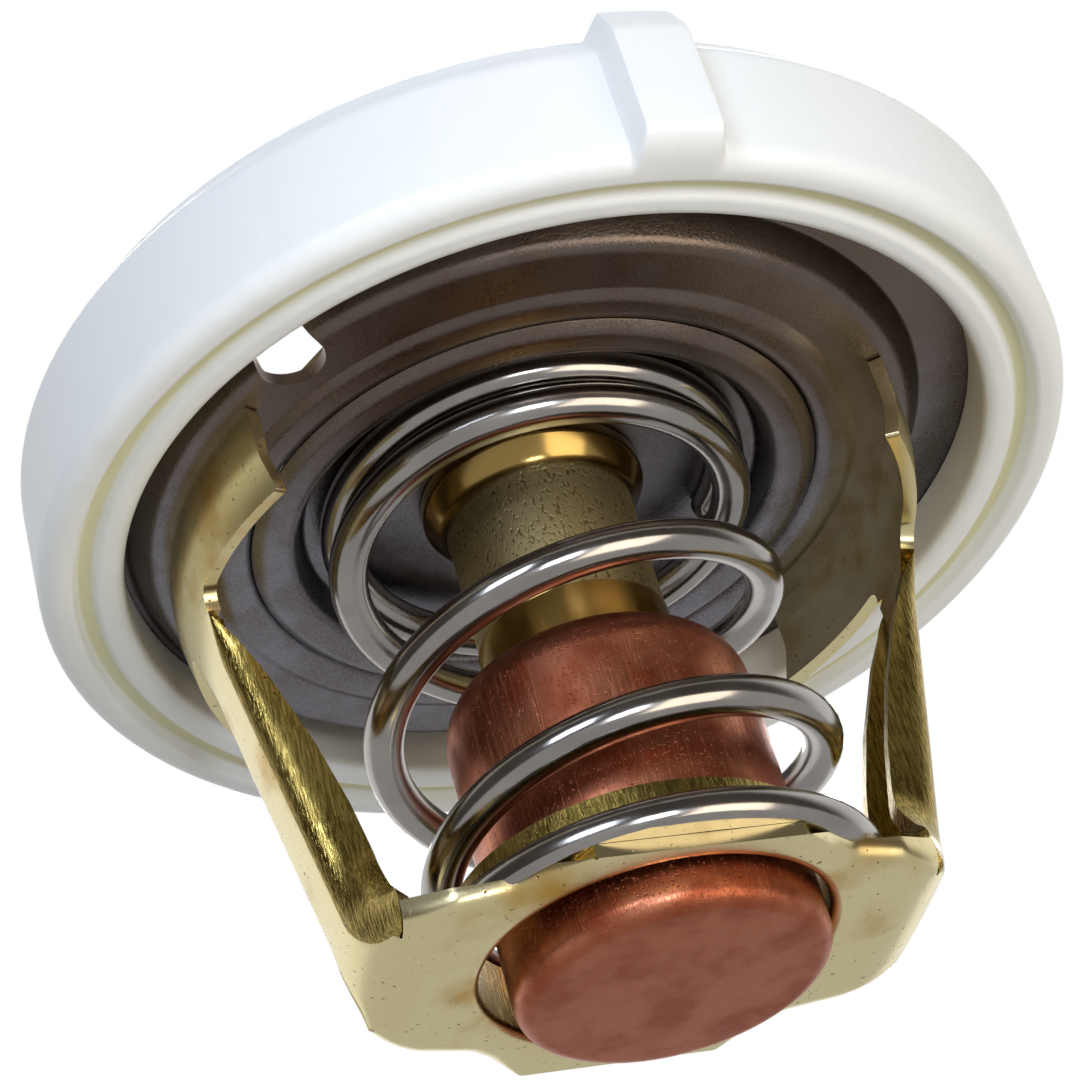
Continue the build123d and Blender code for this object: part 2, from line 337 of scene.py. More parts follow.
def makeSilicone():
    material, tree, coords = newMaterial("moulded silicone", {
        "Roughness": silicone["roughness"], "IOR": 1.41, "Subsurface Weight": 0.2,
        "Subsurface Radius": (1.0, 1.0, 1.0), "Subsurface Scale": silicone["depthOfLight"] * mm,
    })
    centred = addNode(tree, "VectorMath", {0: coords, 1: valveAt}, 0, operation="ADD")
    r, z = radiusOf(tree, centred)
    aside = addNode(tree, "Math", {0: r, 1: silicone["grooveAt"]}, 0, operation="SUBTRACT")
    aside = addNode(tree, "Math", {0: aside}, 0, operation="ABSOLUTE")
    cells = addNode(tree, "TexVoronoi", {"Vector": centred, "Scale": 1 / silicone["gritApart"]}, "Distance")
    nearGrooveShade, below, wallShade, grit = fadeMasks(
        tree, (aside, *silicone["grooveShadeFade"]), (z, *silicone["grooveShadeLowFade"]), (r, *silicone["wallShadeFade"]),
        (cells, *silicone["gritFade"]),
    )
    # painted shade: the groove is darkened where it lies low, below the bead
    groove = addNode(tree, "Math", {0: nearGrooveShade, 1: below}, 0, operation="MULTIPLY")
    colour = layered(
        tree, silicone, "white", (groove, 1, "groove"), (wallShade, silicone["wallShadeShare"], "wallShade"),
        (grit, silicone["gritShare"], "speck"),
    )
    ripple = noiseMask(tree, coords, silicone["ripple"], 0.3, 0.7)
    return finishSurface(material, colour, None, ripple, silicone["rippleDeep"])


# Stainless sheet, cold rolled and pressed: satin and grey, with a painted brown reflection to one side
stainless = {
    "dark": "#6A6462", "light": "#8E8C94", "brownReflection": "#6B5B4C", "roughness": (0.26, 0.38),
    "grain": 0.16,                  # mm, the real one is near 0.03 and is drawn coarser to show
    "grainDeep": 0.006, "cloud": 3.5,
    "brownReflectionFade": (2.0, -14.0),       # mm across the plate, where the painted brown reflection turns it from grey to brown
    "brownReflectionShare": 0.75,
}


def makeStainless():
    material, tree, coords = newMaterial("pressed stainless sheet", {"Metallic": 1.0})
    grain = noiseMask(tree, coords, stainless["grain"], 0.35, 0.65)
    cloud = noiseMask(tree, coords, stainless["cloud"], 0.35, 0.65)
    both = addNode(tree, "Math", {0: grain, 1: cloud}, 0, operation="ADD")
    both = addNode(tree, "Math", {0: both, 1: 0.5}, 0, operation="MULTIPLY")
    across = addNode(tree, "SeparateXYZ", {0: coords}, 1)
    # painted reflection: brown laid over one side of the plate and the disc, as if they mirrored a dark room
    brownReflection = fadeMasks(tree, (across, *stainless["brownReflectionFade"]))[0]
    colour = layered(tree, stainless, "dark", (both, 1, "light"), (brownReflection, stainless["brownReflectionShare"], "brownReflection"))
    return finishSurface(material, colour, (both, *stainless["roughness"]), grain, stainless["grainDeep"])


# Brass sheet, rolled and pressed: pale yellow with amber clouds and small bitten specks. The sheared edge
# is broken and brighter, partly as fresh metal and partly as a painted highlight; the folded edges are
# darker with painted shade, and carry the upright drag marks of the tool.
brassSheet = {
    # the raw colour is partly a painted highlight, and the folded colour is painted shade on the folded edges
    "pale": "#E8DBA9", "amber": "#C49A45", "speck": "#6B4B22", "raw": "#F0CB55", "foldedShaded": "#8A783A",
    "dragged": "#C2AA60", "cloud": 6.0, "speckSize": 0.3, "breakSize": 0.25, "rawSpecks": 0.4,
    "drag": 0.12,                   # mm between drag marks, really near 0.03, drawn coarser to show
    "dragLong": 9, "deep": 0.012, "roughness": (0.24, 0.36),
}


def makeBrassSheet(kind):
    material, tree, coords = newMaterial("pressed brass sheet " + kind, {"Metallic": 1.0})
    cloud = noiseMask(tree, coords, brassSheet["cloud"], 0.48, 0.75)
    specks = noiseMask(tree, coords, brassSheet["speckSize"], 0.66, 0.74)
    if kind == "face":
        colour = layered(tree, brassSheet, "pale", (cloud, 1, "amber"), (specks, 1, "speck"))
        height = addNode(tree, "Math", {0: specks, 1: -1}, 0, operation="MULTIPLY")
    elif kind == "raw edge":
        # brighter than the face: fresh metal, and partly a painted highlight
        colour = layered(tree, brassSheet, "raw", (specks, brassSheet["rawSpecks"], "speck"))
        height = noiseMask(tree, coords, brassSheet["breakSize"], 0.3, 0.7)
    else:
        height = noiseMask(tree, coords, brassSheet["drag"], 0.35, 0.65, (1, 1, brassSheet["dragLong"]))
        # painted shade: the folded edges are coloured darker than the face
        colour = layered(tree, brassSheet, "foldedShaded", (height, 1, "dragged"), (specks, 1, "speck"))
    return finishSurface(material, colour, (cloud, *brassSheet["roughness"]), height, brassSheet["deep"])


# Copper, deep drawn: red-brown and cloudy, with fine pits and upright scratches from the die
copper = {
    "bright": "#CC8262", "brown": "#9A5034", "end": "#A3583A", "endFade": (0.55, 0.1), "share": 0.7,
    "cloud": 2.6,
    "pit": 0.2,                     # mm, about as wide as the real ones
    "scratch": 0.1,                 # mm between scratches, really near 0.02, drawn coarser to show
    "scratchLong": 40, "scratchRough": 0.15, "scratchDeep": 0.4, "deep": 0.02, "roughness": (0.3, 0.44),
}


def makeCopper():
    material, tree, coords = newMaterial("drawn copper", {"Metallic": 1.0})
    z = radiusOf(tree, coords)[1]
    cloud = noiseMask(tree, coords, copper["cloud"], 0.35, 0.7)
    pits = noiseMask(tree, coords, copper["pit"], 0.6, 0.7)
    scratches = noiseMask(tree, coords, copper["scratch"], 0.5, 0.7, (1, 1, copper["scratchLong"]))
    end = fadeMasks(tree, (z, *[cupLow.z / mm + up for up in copper["endFade"]]))[0]
    share = copper["share"]
    colour = layered(tree, copper, "bright", (cloud, 1, "brown"), (end, share, "end"), (pits, share, "brown"))
    duller = addNode(tree, "Math", {0: scratches, 1: copper["scratchRough"]}, 0, operation="MULTIPLY")
    height = addNode(tree, "Math", {0: scratches, 1: copper["scratchDeep"]}, 0, operation="MULTIPLY")
    height = addNode(tree, "Math", {0: height, 1: pits}, 0, operation="SUBTRACT")
    return finishSurface(material, colour, (cloud, *copper["roughness"]), height, copper["deep"], duller)


# Free-cutting brass, turned: matt and pitted above, bright where the tool finished the step and the flare
turnedBrass = {
    "matt": "#DDCC98", "bright": "#D6B463", "pit": "#A18E5E", "flare": "#A88C52",
    "stepFade": 0.15, "flareFade": (-1.1, -0.5),    # mm
    "pitSize": 0.2, "pitLong": 1.8, "deep": 0.015, "roughness": (0.44, 0.18),
}


def makeTurnedBrass():
    material, tree, coords = newMaterial("turned brass", {"Metallic": 1.0})
    z = radiusOf(tree, coords)[1]
    step, fade = guide["stepTop"], turnedBrass["stepFade"]
    bright, flare = fadeMasks(tree, (z, step + fade, step - fade), (z, *turnedBrass["flareFade"]))
    smoothHere = addNode(tree, "Math", {0: bright, 1: flare}, 0, operation="MAXIMUM")
    mattHere = addNode(tree, "Math", {0: 1.0, 1: smoothHere}, 0, operation="SUBTRACT")
    pits = noiseMask(tree, coords, turnedBrass["pitSize"], 0.52, 0.66, (1, 1, turnedBrass["pitLong"]))
    pits = addNode(tree, "Math", {0: pits, 1: mattHere}, 0, operation="MULTIPLY")
    colour = layered(tree, turnedBrass, "matt", (flare, 1, "flare"), (bright, 1, "bright"), (pits, 1, "pit"))
    height = addNode(tree, "Math", {0: pits, 1: -1}, 0, operation="MULTIPLY")
    roughness = (smoothHere, *turnedBrass["roughness"])
    return finishSurface(material, colour, roughness, height, turnedBrass["deep"])


# Plain finishes: name, two colours, metallic, roughness from and to, size of the clouds in mm
plainFinishes = [
    # stainless wire, drawn and polished: a clear mirror, only slightly cloudy
    ("polished spring wire", "#9D9894", "#A9A5A0", 1.0, 0.15, 0.19, 4.0),
    # tool steel, centreless ground: pale and even, its grind marks too fine to see
    ("ground steel", "#B4B4B4", "#C0C0C0", 1.0, 0.22, 0.26, 1.5),
    # fluoroplastic, sintered: off-white, waxy
    ("sintered fluoroplastic", "#E2E2DC", "#F0F0EA", 0.0, 0.4, 0.5, 0.5),
    # nitrile rubber, moulded: near black, matt
    ("moulded rubber", "#0E0E0E", "#1C1B1A", 0.0, 0.5, 0.65, 0.5),
    # wax with copper dust, cast: tan, cloudy
    ("cast wax", "#CDBB86", "#E4D8AE", 0.0, 0.4, 0.6, 1.5),
]
plainDeep = 0.002    # mm of relief on each of them


def makePlain(name, dark, light, metallic, smoothest, roughest, size):
    material, tree, coords = newMaterial(name, {"Metallic": metallic})
    cloud = noiseMask(tree, coords, size, 0.35, 0.65)
    colour = layered(tree, {"dark": dark, "light": light}, "dark", (cloud, 1, "light"))
    return finishSurface(material, colour, (cloud, smoothest, roughest), cloud, plainDeep)


# Seal ring
seal = {
    "outer": 31.0, "low": -1.8, "high": 9.2, "crown": 28.9, "wallHigh": 6.3, "lip": 26.0, "bead": 27.6,
    "beadLow": -1.5, "groove": 28.4, "grooveWide": 0.8, "grooveDeep": -0.9, "grooveWall": 0.3,
    "slotPlay": 0.3, "lowRound": 1.3, "tabAngle": -89.1, "tabWide": 4.6, "tabSlope": 0.7, "tabFoot": 29.6,
    "tabReach": 32.7, "tabHigh": 8.7, "tabTopReach": 31.4, "segments": 300, "tabSteps": 24,
}


def makeSeal():
    g0 = seal["groove"] - seal["grooveWide"] / 2
    g1 = seal["groove"] + seal["grooveWide"] / 2
    slotHigh = plate["rimLow"] + plate["thick"]
    slotDeep = plate["rim"] + seal["slotPlay"]
    slope = (seal["outer"] - seal["crown"]) / (seal["high"] - seal["wallHigh"])
    atTab = seal["outer"] - slope * (seal["tabHigh"] - seal["wallHigh"])
    corners = [
        # radius, height and rounding of each corner
        (seal["lip"], plate["rimLow"], 0.15), (seal["lip"], seal["beadLow"], 0.9),
        (seal["bead"], seal["beadLow"], 0.5), (g0, seal["grooveDeep"], 0.2), (g1, seal["grooveDeep"], 0.2),
        (g1 + seal["grooveWall"], seal["low"], 0.4), (seal["outer"], seal["low"], seal["lowRound"]),
        (seal["outer"], seal["wallHigh"], 1.5), (atTab, seal["tabHigh"] - 0.02, 0),
        (atTab, seal["tabHigh"] + 0.02, 0), (seal["crown"], seal["high"], 1.0),
        (seal["lip"], seal["high"], 0.8), (seal["lip"], slotHigh, 0.15), (slotDeep, slotHigh, 0),
        (slotDeep, plate["rimLow"], 0),
    ]
    loop = roundCorners([c[:2] for c in corners], [c[2] for c in corners])
    half = seal["tabWide"] / 2
    tabTurn = math.radians(seal["tabAngle"])

    def withTab(r, z, angle):
        # Pushes the wall out to the tab, with sloping sides and a foot in the rounding below
        across = abs((angle - tabTurn + math.pi) % (2 * math.pi) - math.pi) * seal["outer"]
        if z > seal["tabHigh"]:
            return r, z
        rise = smooth((half + seal["tabSlope"] / 2 - across) / seal["tabSlope"])
        top = smooth((z - seal["wallHigh"]) / (seal["tabHigh"] - seal["wallHigh"]))
        push = (seal["tabReach"] - seal["outer"]) * (1 - top) + (seal["tabTopReach"] - atTab) * top
        if z < seal["wallHigh"]:
            outside = min(max((r - seal["tabFoot"]) / seal["lowRound"], 0.0), 1.0)
        else:
            outside = smooth((r - atTab + 0.4) / 0.3)
        return r + push * rise * outside ** 0.6, z

    even = [2 * math.pi * i / seal["segments"] for i in range(seal["segments"])]
    reach = (half + seal["tabSlope"]) / seal["outer"]
    steps = seal["tabSteps"]
    dense = [tabTurn + 2 * math.pi + reach * (i / steps - 1) for i in range(2 * steps + 1)]
    angles = sorted([a for a in even if abs(a - tabTurn - 2 * math.pi) > reach + 0.01] + dense)
    mesh = lathe(loop, angles=angles, reshape=withTab)
    return piece("sealRing", mesh, [siliconeRubber], "flange", ["seal_ring"])


# Flange plate
plate = {
    "thick": 0.8, "rim": 27.0, "rimLow": 2.2, "stepIn": 23.0, "stepOut": 24.2, "land": 19.7, "ridge": 19.0,
    "ridgeLow": -0.35, "opening": 15.4, "openingLow": 1.75, "bends": [0.3, 0.3, 0.3, 0.5, 0.3, 0.3],
    "rimFrom": 25.0, "bleedAt": 22.6, "bleedWide": 3.9, "bleedAngle": -137.5,
}


def seatRadius(z):
    # The conical seat stands square to the turned-up edge of the disc
    edge = math.hypot(valve["edgeOut"], valve["edgeUp"])
    r0 = valve["outer"] + valve["gap"] * valve["edgeOut"] / edge
    z0 = valve["rimLow"] + valve["edgeUp"] * (1 + valve["gap"] / edge)
    return r0 - (z - z0) * valve["edgeUp"] / valve["edgeOut"]


def makePlate():
    line = [
        (plate["opening"], plate["openingLow"]), (seatRadius(plate["openingLow"]), plate["openingLow"]),
        (seatRadius(plate["ridgeLow"]), plate["ridgeLow"]), (plate["ridge"], plate["ridgeLow"]),
        (plate["land"], 0), (plate["stepIn"], 0), (plate["stepOut"], plate["rimLow"]),
        (plate["rim"], plate["rimLow"]),
    ]
    loop = sheetLoop(line, plate["thick"], plate["bends"])
    start = plate["rimFrom"]

    def offCentre(r, z, angle):
        # The rim is a circle about the seal's axis
        if r <= start:
            return r, z
        along = valveAt.x * math.cos(angle) + valveAt.y * math.sin(angle)
        rim = -along + math.sqrt(along * along - valveAt.length_squared + plate["rim"] ** 2)
        return start + (r - start) * (rim - start) / (plate["rim"] - start), z

    mesh = lathe(loop, valveAt, reshape=offCentre)
    hole = bmesh.new()
    turn = math.radians(plate["bleedAngle"])
    where = valveAt + Vector((math.cos(turn), math.sin(turn), 0)) * plate["bleedAt"]
    radius = plate["bleedWide"] / 2
    bmesh.ops.create_cone(
        hole, cap_ends=True, segments=64, radius1=radius, radius2=radius, depth=12,
        matrix=Matrix.Translation(where),
    )
    mesh = cutBy(mesh, hole)
    return piece("flangePlate", mesh, [stainlessSheet], "flange", ["flange_plate"])


# Valve disc, with the spring's well in the middle
valve = {
    "thick": 0.8, "outer": 17.2, "well": 13.9, "wellSlope": 0.75, "wellLow": 1.7, "rimLow": -0.5,
    "edgeOut": 0.75, "edgeUp": 0.55, "bends": [0.4, 0.3, 0.3], "neck": 4.52, "gap": 0.03,
}


def makeValve():
    line = [
        (valve["neck"], valve["wellLow"]), (valve["well"], valve["wellLow"]),
        (valve["well"] + valve["wellSlope"], valve["rimLow"]),
        (valve["outer"] - valve["edgeOut"], valve["rimLow"]),
        (valve["outer"], valve["rimLow"] + valve["edgeUp"]),
    ]
    mesh = lathe(sheetLoop(line, valve["thick"], valve["bends"]), valveAt)
    return piece("valveDisc", mesh, [stainlessSheet], "element", ["valve_disc"])


# Guide, turned from bar: stem with a flare under the disc and a step above the cup
guide = {
    "stem": 5.58, "step": 5.68, "neck": 4.5, "flare": 6.75, "flareEdge": 0.8, "flareLow": -0.6,
    "stepTop": -9.3, "bore": 2.45, "head": 5.9, "headHigh": 0.9, "nose": 4.0, "noseHigh": 1.8,
    "footHigh": 3.2,
}


def makeGuide():
    footTop = cup["top"] - cup["thick"] - cup["play"]
    footLow = footTop - guide["footHigh"]
    foot = cup["outer"] - cup["thick"] - cup["play"]
    top = valve["wellLow"] + valve["thick"]
    headTop = top + guide["headHigh"]
    noseTop = headTop + guide["noseHigh"]
    corners = [
        # radius, height and rounding of each corner
        (guide["bore"], noseTop, 0.1), (guide["nose"], noseTop, 0.4), (guide["nose"], headTop, 0.15),
        (guide["head"], headTop, 0.35), (guide["head"], top, 0.1), (guide["neck"], top, 0),
        (guide["neck"], valve["wellLow"], 0), (guide["flare"], valve["wellLow"], 0.15),
        (guide["flare"], guide["flareEdge"], 0.4), (guide["stem"], guide["flareLow"], 1.6),
        (guide["stem"], guide["stepTop"], 0.03), (guide["step"], guide["stepTop"], 0.06),
        (guide["step"], footTop, 0), (foot, footTop, cup["shoulder"] - cup["play"]), (foot, footLow, 0.3),
        (guide["bore"], footLow, 0),
    ]
    loop = roundCorners([c[:2] for c in corners], [c[2] for c in corners])
    return piece("guide", lathe(loop, valveAt, 128), [brassTurned], "element", ["guide"])


# Capsule cup, drawn
cup = {"outer": 8.85, "thick": 0.5, "top": -12.6, "corner": 0.6, "shoulder": 2.3, "play": 0.02}


def makeCup():
    low = cupLow.z / mm
    mouth = guide["step"] + cup["play"]
    line = [(0, low), (cup["outer"], low), (cup["outer"], cup["top"]), (mouth, cup["top"])]
    loop = sheetLoop(line, cup["thick"], [cup["corner"], cup["shoulder"]], (0, 0.1))
    return piece("capsuleCup", lathe(loop, valveAt, 160), [drawnCopper], "element", ["capsule_cup"])


# Piston, a ground rod with chamfered ends
piston = {"radius": 2.4, "chamfer": 0.4, "play": 0.02}


def makePiston():
    low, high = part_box("piston")
    low, high = low.z / mm, high.z / mm
    r, c = piston["radius"], piston["chamfer"]
    line = [(0, low), (r - c, low), (r, low + c), (r, high - c), (r - c, high), (0, high)]
    loop = [Vector(p) for p in line]
    mesh = lathe(loop, valveAt, 64)
    return piece("piston", mesh, [plain["ground steel"]], "flange", ["piston"])


# Spring: closed ends, ground flat where they stand on the frame and in the well
spring = {
    "wire": 1.15, "chamfer": 0.12, "endAngle": 120.0, "turns": 4.7, "play": 0.02, "stepsPerTurn": 72,
    "sides": 24, "groundLow": 0.4, "groundHigh": 0.5,
    # pairs of a turn and a height, a radius or a shift sideways in mm, as the photo shows them
    "lowRises": [(0.0, 0.0), (0.35, 0.05), (1.35, 6.75), (2.35, 16.6)],
    "highFalls": [(3.35, 2.45), (3.7, 2.3), (4.35, 0.0), (4.7, 0.0)],
    "radii": [(0, 11.9), (0.35, 12), (1.35, 11.4), (2.35, 12), (3.35, 11.65), (4.35, 11.85), (4.7, 11.85)],
    "shifts": [(0, -0.4), (0.35, -0.3), (1.35, 0.4), (2.35, -0.5), (3.35, -0.15), (4.35, 0), (4.7, 0)],
}


def smoothValue(knots, turn):
    # Value at a turn between knots of (turn, value), without overshoot
    steps = [(b[1] - a[1]) / (b[0] - a[0]) for a, b in zip(knots, knots[1:])]
    slopes = [steps[0]]
    for before, after in zip(steps, steps[1:]):
        slopes.append(2 * before * after / (before + after) if before * after > 0 else 0.0)
    slopes.append(steps[-1])
    i = 0
    while i < len(knots) - 2 and turn > knots[i + 1][0]:
        i += 1
    (t0, z0), (t1, z1) = knots[i], knots[i + 1]
    wide = t1 - t0
    x = (turn - t0) / wide
    start = (1 + 2 * x) * (1 - x) ** 2 * z0 + x * (1 - x) ** 2 * wide * slopes[i]
    return start + x * x * (3 - 2 * x) * z1 + x * x * (x - 1) * wide * slopes[i + 1]


def makeSpring():
    bottom = lowerFrame["low"] + lowerFrame["thick"] + spring["play"]
    top = valve["wellLow"] - spring["play"]
    floor = bottom + spring["wire"] - spring["groundLow"]
    ceiling = top - spring["wire"] + spring["groundHigh"]
    knots = [(t, floor + z) for t, z in spring["lowRises"]]
    knots += [(t, ceiling - z) for t, z in spring["highFalls"]]
    count = round(spring["turns"] * spring["stepsPerTurn"])
    chamfer = spring["chamfer"]
    ends = {0: [(chamfer, 0), (0, chamfer)], count: [(0, -chamfer), (chamfer, 0)]}    # two rings at each end
    middles = []
    for i in range(count + 1):
        turn = spring["turns"] * i / count
        angle = math.radians(spring["endAngle"]) + 2 * math.pi * turn
        shift = Vector((smoothValue(spring["shifts"], turn), 0, smoothValue(knots, turn)))
        outward = Vector((math.cos(angle), math.sin(angle), 0))
        middles.append((valveAt + outward * smoothValue(spring["radii"], turn) + shift, outward))
    mesh = bmesh.new()
    rings = []
    for i, (middle, outward) in enumerate(middles):
        along = (middles[min(i + 1, count)][0] - middles[max(i - 1, 0)][0]).normalized()
        across = along.cross(outward).normalized()
        out = across.cross(along)
        for inset, onward in ends.get(i, [(0, 0)]):
            ring = []
            for k in range(spring["sides"]):
                a = 2 * math.pi * k / spring["sides"]
                side = (out * math.cos(a) + across * math.sin(a)) * (spring["wire"] - inset)
                spot = middle + along * onward + side
                spot.z = min(max(spot.z, bottom), top)    # ground flat
                ring.append(mesh.verts.new(spot))
            rings.append(ring)
    skin(mesh, rings)
    mesh.faces.new(rings[0])
    mesh.faces.new(rings[-1])
    wire = plain["polished spring wire"]
    made = piece("mainSpring", mesh, [wire], "flange", ["main_spring"], 50)
    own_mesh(made)
    return made


# Lower frame: one sheet, drawn up round the collar, with two folded legs and curved ears
lowerFrame = {
    "thick": 0.8, "lean": 0.6, "low": -30.7, "collar": 9.75, "collarHigh": -26.0, "collarBend": 0.2,
    "legLow": 16.3, "footBend": 3.2, "ear": 22.2, "earBend": -3.4, "earLow": -5.9, "earHalf": 33.0,
    "bendHigh": 3.0, "legWide": 5.6, "legCorner": 1.2, "legFlare": 4.0, "foldBend": 1.1, "join": 12.9,
    "foot": 14.9, "slit": 0.14, "splay": 6.0, "curveOver": 5.0, "tabWide": 5.0, "tabOver": 0.8,
    # the base's edge in plan, a quarter of it, with the rounding of each corner
    "base": [(0, 11.4), (5.8, 11.4), (9.3, 8.4), (12.4, 7.6), (14.9, 5.9)],
    "baseRounds": [0, 0.8, 1.5, 1.4, 0], "straightFrom": 11.6, "straightOver": 1.2,
    # how deep the leg's edges are folded in at each height
    "folds": [(-7.2, 0.0), (-9.0, 0.8), (-12.0, 1.6), (-17.0, 2.4), (-21.0, 2.7), (-40.0, 2.7)],
    # how high the base's edge is turned up, and its bend, at each distance along the legs' line
    "lips": [(0.0, 0.0), (5.8, 0.0), (8.0, 1.1), (11.0, 1.3), (12.6, 1.5), (14.9, 2.1)],
    "lipBends": [(0.0, 0.02), (5.8, 0.02), (8.0, 1.1), (14.9, 1.1)],
    "around": 120, "legStep": 0.5, "spacing": 0.7, "slitClear": 0.15,
}
flatSteps, bendSteps, wallSteps = 4, 5, 3      # faces across half a section: web, bend and turned-up wall
sideSteps = bendSteps + wallSteps


def outerFace(ear):
    # Points of the frame's outer face from the collar up to the ear
    tabTop = plate["thick"] + bridge["thick"] + lowerFrame["tabOver"]
    line = [
        (lowerFrame["collar"], lowerFrame["collarHigh"]), (lowerFrame["collar"], lowerFrame["low"]),
        (lowerFrame["legLow"], lowerFrame["low"]), (ear, lowerFrame["earBend"]), (ear, tabTop),
    ]
    bends = [lowerFrame[k] for k in ("collarBend", "footBend", "bendHigh")]
    points, near = sheetPaths(line, lowerFrame["thick"], bends)[:2]
    return roundCorners(points, near, closed=False, stepDegrees=5)


def along(path, key, value):
    # The point of the path where its radius or its height first takes a value
    for a, b in zip(path, path[1:]):
        if min(a[key], b[key]) - 1e-9 <= value <= max(a[key], b[key]) + 1e-9 and abs(b[key] - a[key]) > 1e-9:
            return a + (b - a) * (value - a[key]) / (b[key] - a[key])
    return path[-1]


def divided(line, step):
    # The line in even steps, without its last point
    points = []
    for a, b in zip(line, line[1:]):
        steps = max(1, round((b - a).length / step))
        points += [a + (b - a) * k / steps for k in range(steps)]
    return points


def between(knots, x):
    # Straight-line value between knots of (place, value)
    for (x0, v0), (x1, v1) in zip(knots, knots[1:]):
        if min(x0, x1) <= x <= max(x0, x1):
            return v0 + (v1 - v0) * (x - x0) / (x1 - x0)
    return knots[0][1] if abs(x - knots[0][0]) < abs(x - knots[-1][0]) else knots[-1][1]


def foldSection(flat, radius, depth):
    # Half a section across the sheet, flat, then bent up, then straight, as points (across, up)
    section = [(flat * k / flatSteps, 0.0) for k in range(flatSteps + 1)]
    most = math.acos(max(1 - depth / radius, 0.0)) if radius > 0.001 else 0.0
    for k in range(1, bendSteps + 1):
        angle = most * k / bendSteps
        section.append((flat + radius * math.sin(angle), radius * (1 - math.cos(angle))))
    across, up = section[-1]
    rest = max(depth - radius, 0.0)
    return section + [(across, up + rest * k / wallSteps) for k in range(1, wallSteps + 1)]


def legPatch(mesh, path, turn):
    # Web and folded edges, row by row from the base to the ear, with a slit where the folded edges end
    foot, half = lowerFrame["foot"], lowerFrame["legWide"] / 2
    legTop = lowerFrame["earLow"] - lowerFrame["legCorner"]
    places = divided(path, lowerFrame["legStep"])
    places = [p for p in places if p.x > lowerFrame["join"] + 0.1 and p.y < legTop - 0.1]
    cuts = [foot - lowerFrame["slit"] / 2, foot + lowerFrame["slit"] / 2]
    places = [p for p in places if min(abs(p.x - c) for c in cuts) > lowerFrame["slitClear"]]
    places += [along(path, 0, x) for x in [lowerFrame["join"]] + cuts] + [along(path, 1, legTop)]
    places.sort(key=lambda p: (p.x, p.y))
    thick = lowerFrame["thick"]
    flareLow = lowerFrame["low"] + thick
    footWide = lowerFrame["base"][-1][1]
    made = []
    for i, place in enumerate(places):
        way = (places[min(i + 1, len(places) - 1)] - places[max(i - 1, 0)]).normalized()
        bent = lowerFrame["foldBend"]
        splay = 0.0
        if place.x < foot:
            inward = Vector((0, 1))
            wide = between(lowerFrame["base"][-2:], place.x)
            depth = lowerFrame["low"] + between(lowerFrame["lips"], place.x) - place.y
        else:
            inward = Vector((-way.y, way.x))
            flare = 1 - min(max((place.y - flareLow) / (lowerFrame["legFlare"] - thick), 0.0), 1.0)
            wide = half + (footWide - half) * (1 - math.sqrt(1 - flare * flare))
            fold = between(lowerFrame["folds"], place.y)
            bent = min(bent, fold)
            depth = min(fold, (place.x - foot) / max(-inward.x, 0.05))
            splay = smooth(1 - (place.y - flareLow) / lowerFrame["splay"])
            splay *= (footWide - wide) / max(depth, 0.3)
        section = foldSection(wide - bent, bent, depth)
        curve = smooth((place.y - lowerFrame["low"]) / lowerFrame["curveOver"])
        row = []
        for y, deep in [(-y, d) for y, d in section[:0:-1]] + section:
            at = place + inward * deep
            sag = curve * (place.x - math.sqrt(place.x ** 2 - y ** 2))
            aside = y + math.copysign(splay * deep, y)
            row.append(mesh.verts.new(turn @ Vector((at.x - sag, aside, at.y))))
        made.append((place.x, row))
    for (xa, a), (xb, b) in zip(made, made[1:]):
        slit = xa < foot < xb
        for k in range(len(a) - 1):
            flat = sideSteps <= k < sideSteps + 2 * flatSteps
            if flat or not slit:
                face = mesh.faces.new((a[k], a[k + 1], b[k + 1], b[k]))
                face.material_index = 0 if flat or xb < foot else 2


def baseEdge():
    # Quarter of the base's edge in plan up to the leg, with the way outwards at each point
    line = roundCorners(lowerFrame["base"], lowerFrame["baseRounds"], closed=False)
    dense = [p for p in divided(line, lowerFrame["legStep"]) if p.x < lowerFrame["join"] - 0.15]
    dense.append(along(line, 0, lowerFrame["join"]))
    found = []
    for i, p in enumerate(dense):
        way = (dense[min(i + 1, len(dense) - 1)] - dense[max(i - 1, 0)]).normalized()
        straight = smooth((p.x - lowerFrame["straightFrom"]) / lowerFrame["straightOver"])
        out = (Vector((-way.y, way.x)) * (1 - straight) + Vector((0, 1)) * straight).normalized()
        found.append((p, Vector((0, 1)) if i in (0, len(dense) - 1) else out))
    return found


